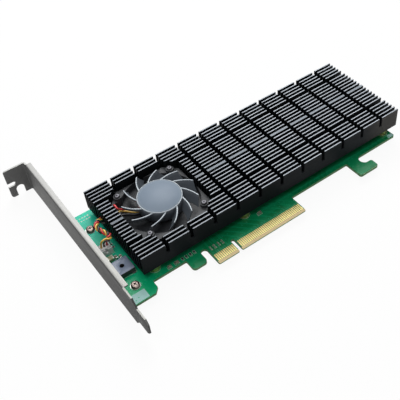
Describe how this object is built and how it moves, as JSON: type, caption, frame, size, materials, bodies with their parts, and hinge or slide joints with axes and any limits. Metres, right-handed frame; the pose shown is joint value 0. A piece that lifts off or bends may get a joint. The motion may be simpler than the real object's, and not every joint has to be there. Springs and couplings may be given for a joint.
{
  "type": "nvme adapter card",
  "caption": "Expansion card for solid-state drives: green circuit board with gold edge fingers, slot bracket, black cross-cut heatsink and a small fan sunk in it.",
  "frame": {"origin": "middle of the key notch, on the contact edge, halfway through the board", "axes": "+X along the board, away from the bracket; +Y from the contact edge to the top edge; +Z out of the component side"},
  "size_m": [0.1852, 0.1201, 0.0189],
  "materials": {
    "solder_mask": "green solder mask, satin gloss",
    "gold_contacts": "hard gold plating",
    "bracket_steel": "nickel-plated sheet steel, satin",
    "screw_nickel": "nickel-plated, satin",
    "screw_dark": "dark zinc-plated steel",
    "tinned_land": "hot-air tinned copper",
    "black_anodised": "black anodised, satin",
    "brass": "turned brass",
    "fan_grey": "grey glass-filled plastic",
    "rotor_grey": "dark grey plastic",
    "label_grey": "bare blue-grey label film",
    "bearing_bronze": "sintered bronze",
    "shaft_steel": "ground steel",
    "electrical_steel": "laminated electrical steel",
    "magnet": "bonded ferrite",
    "copper": "enamelled copper wire",
    "driver_laminate": "green laminate",
    "chip_lid": "nickel-plated copper lid",
    "thermal_pad": "soft silicone pad",
    "black_moulding": "black moulding",
    "tinned_leads": "tin plating",
    "white_nylon": "natural white nylon",
    "ceramic_tan": "ceramic chip with tinned ends",
    "tantalum_tan": "moulded epoxy",
    "resistor_black": "thick-film chip with tinned ends",
    "insulation_red": "red wire insulation",
    "insulation_yellow": "yellow wire insulation",
    "insulation_black": "black wire insulation"
  },
  "bodies": {
    "card": {"circuit_board": "solder_mask", "edge_contacts_front": "gold_contacts", "edge_contacts_back": "gold_contacts", "slot_bracket": "bracket_steel", "bracket_ears": "bracket_steel", "bracket_screws": "screw_nickel", "heatsink_screws": "screw_nickel", "m2_screws": "screw_nickel", "fan_screws": "screw_dark", "screw_lands": "tinned_land", "heatsink": "black_anodised", "heatsink_spacers": "brass", "m2_spacers": "brass", "fan_frame": "fan_grey", "fan_bearing": "bearing_bronze", "stator_core": "electrical_steel", "stator_coils": "copper", "fan_driver_board": "driver_laminate", "switch_chip_substrate": "driver_laminate", "switch_chip_lid": "chip_lid", "chip_thermal_pad": "thermal_pad", "ssd_thermal_pads": "thermal_pad", "m2_sockets": "black_moulding", "power_inductors": "black_moulding", "regulator_chips": "black_moulding", "flash_chip": "black_moulding", "buzzer_case": "black_moulding", "m2_socket_contacts": "tinned_leads", "flash_chip_leads": "tinned_leads", "fan_header_pins": "tinned_leads", "fan_plug_contacts": "tinned_leads", "buzzer_terminals": "tinned_leads", "clock_crystal": "tinned_leads", "fan_header": "white_nylon", "fan_plug": "white_nylon", "coupling_capacitors": "ceramic_tan", "front_capacitors": "ceramic_tan", "back_capacitors": "ceramic_tan", "tantalum_capacitor": "tantalum_tan", "front_resistors": "resistor_black", "lead_red": "insulation_red", "lead_yellow": "insulation_yellow", "lead_black": "insulation_black"},
    "fan_wheel": {"fan_rotor": "rotor_grey", "rotor_yoke": "electrical_steel", "rotor_magnet": "magnet", "rotor_shaft": "shaft_steel", "shaft_clip": "shaft_steel", "hub_label": "label_grey"}
  },
  "joints": [
    {"name": "fan_spin", "type": "hinge", "parent": "card", "child": "fan_wheel", "pos_m": [-0.0172, 0.0413, 0.014], "axis": [0, 0, 1], "continuous": true}
  ]
}
